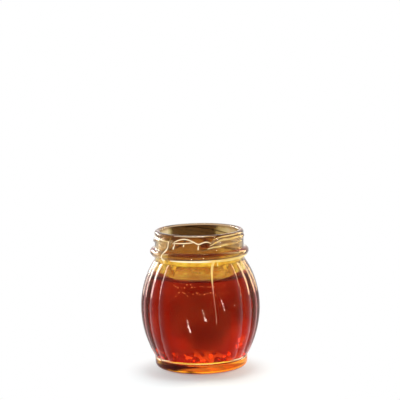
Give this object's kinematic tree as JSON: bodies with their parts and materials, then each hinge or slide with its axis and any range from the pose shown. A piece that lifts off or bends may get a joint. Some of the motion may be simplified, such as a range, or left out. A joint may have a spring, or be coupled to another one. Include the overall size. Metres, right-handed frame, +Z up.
{
  "type": "honey jar",
  "caption": "Open round-bellied glass jar, lobed down both sides and smooth at front and back, with a threaded neck, partly filled with honey.",
  "frame": {"origin": "centre of the plane that the foot ring rests on", "axes": "+Z up along the jar's axis, -Y towards the front, which is one of the two smooth panels, +X to the right"},
  "size_m": [0.082, 0.082, 0.095],
  "materials": {
    "clear_glass": "clear pressed glass, smooth and glossy",
    "honey": "clear dark amber syrup, wet and glossy"
  },
  "bodies": {
    "root": {"glass_jar": "clear_glass", "honey": "honey"}
  },
  "joints": []
}
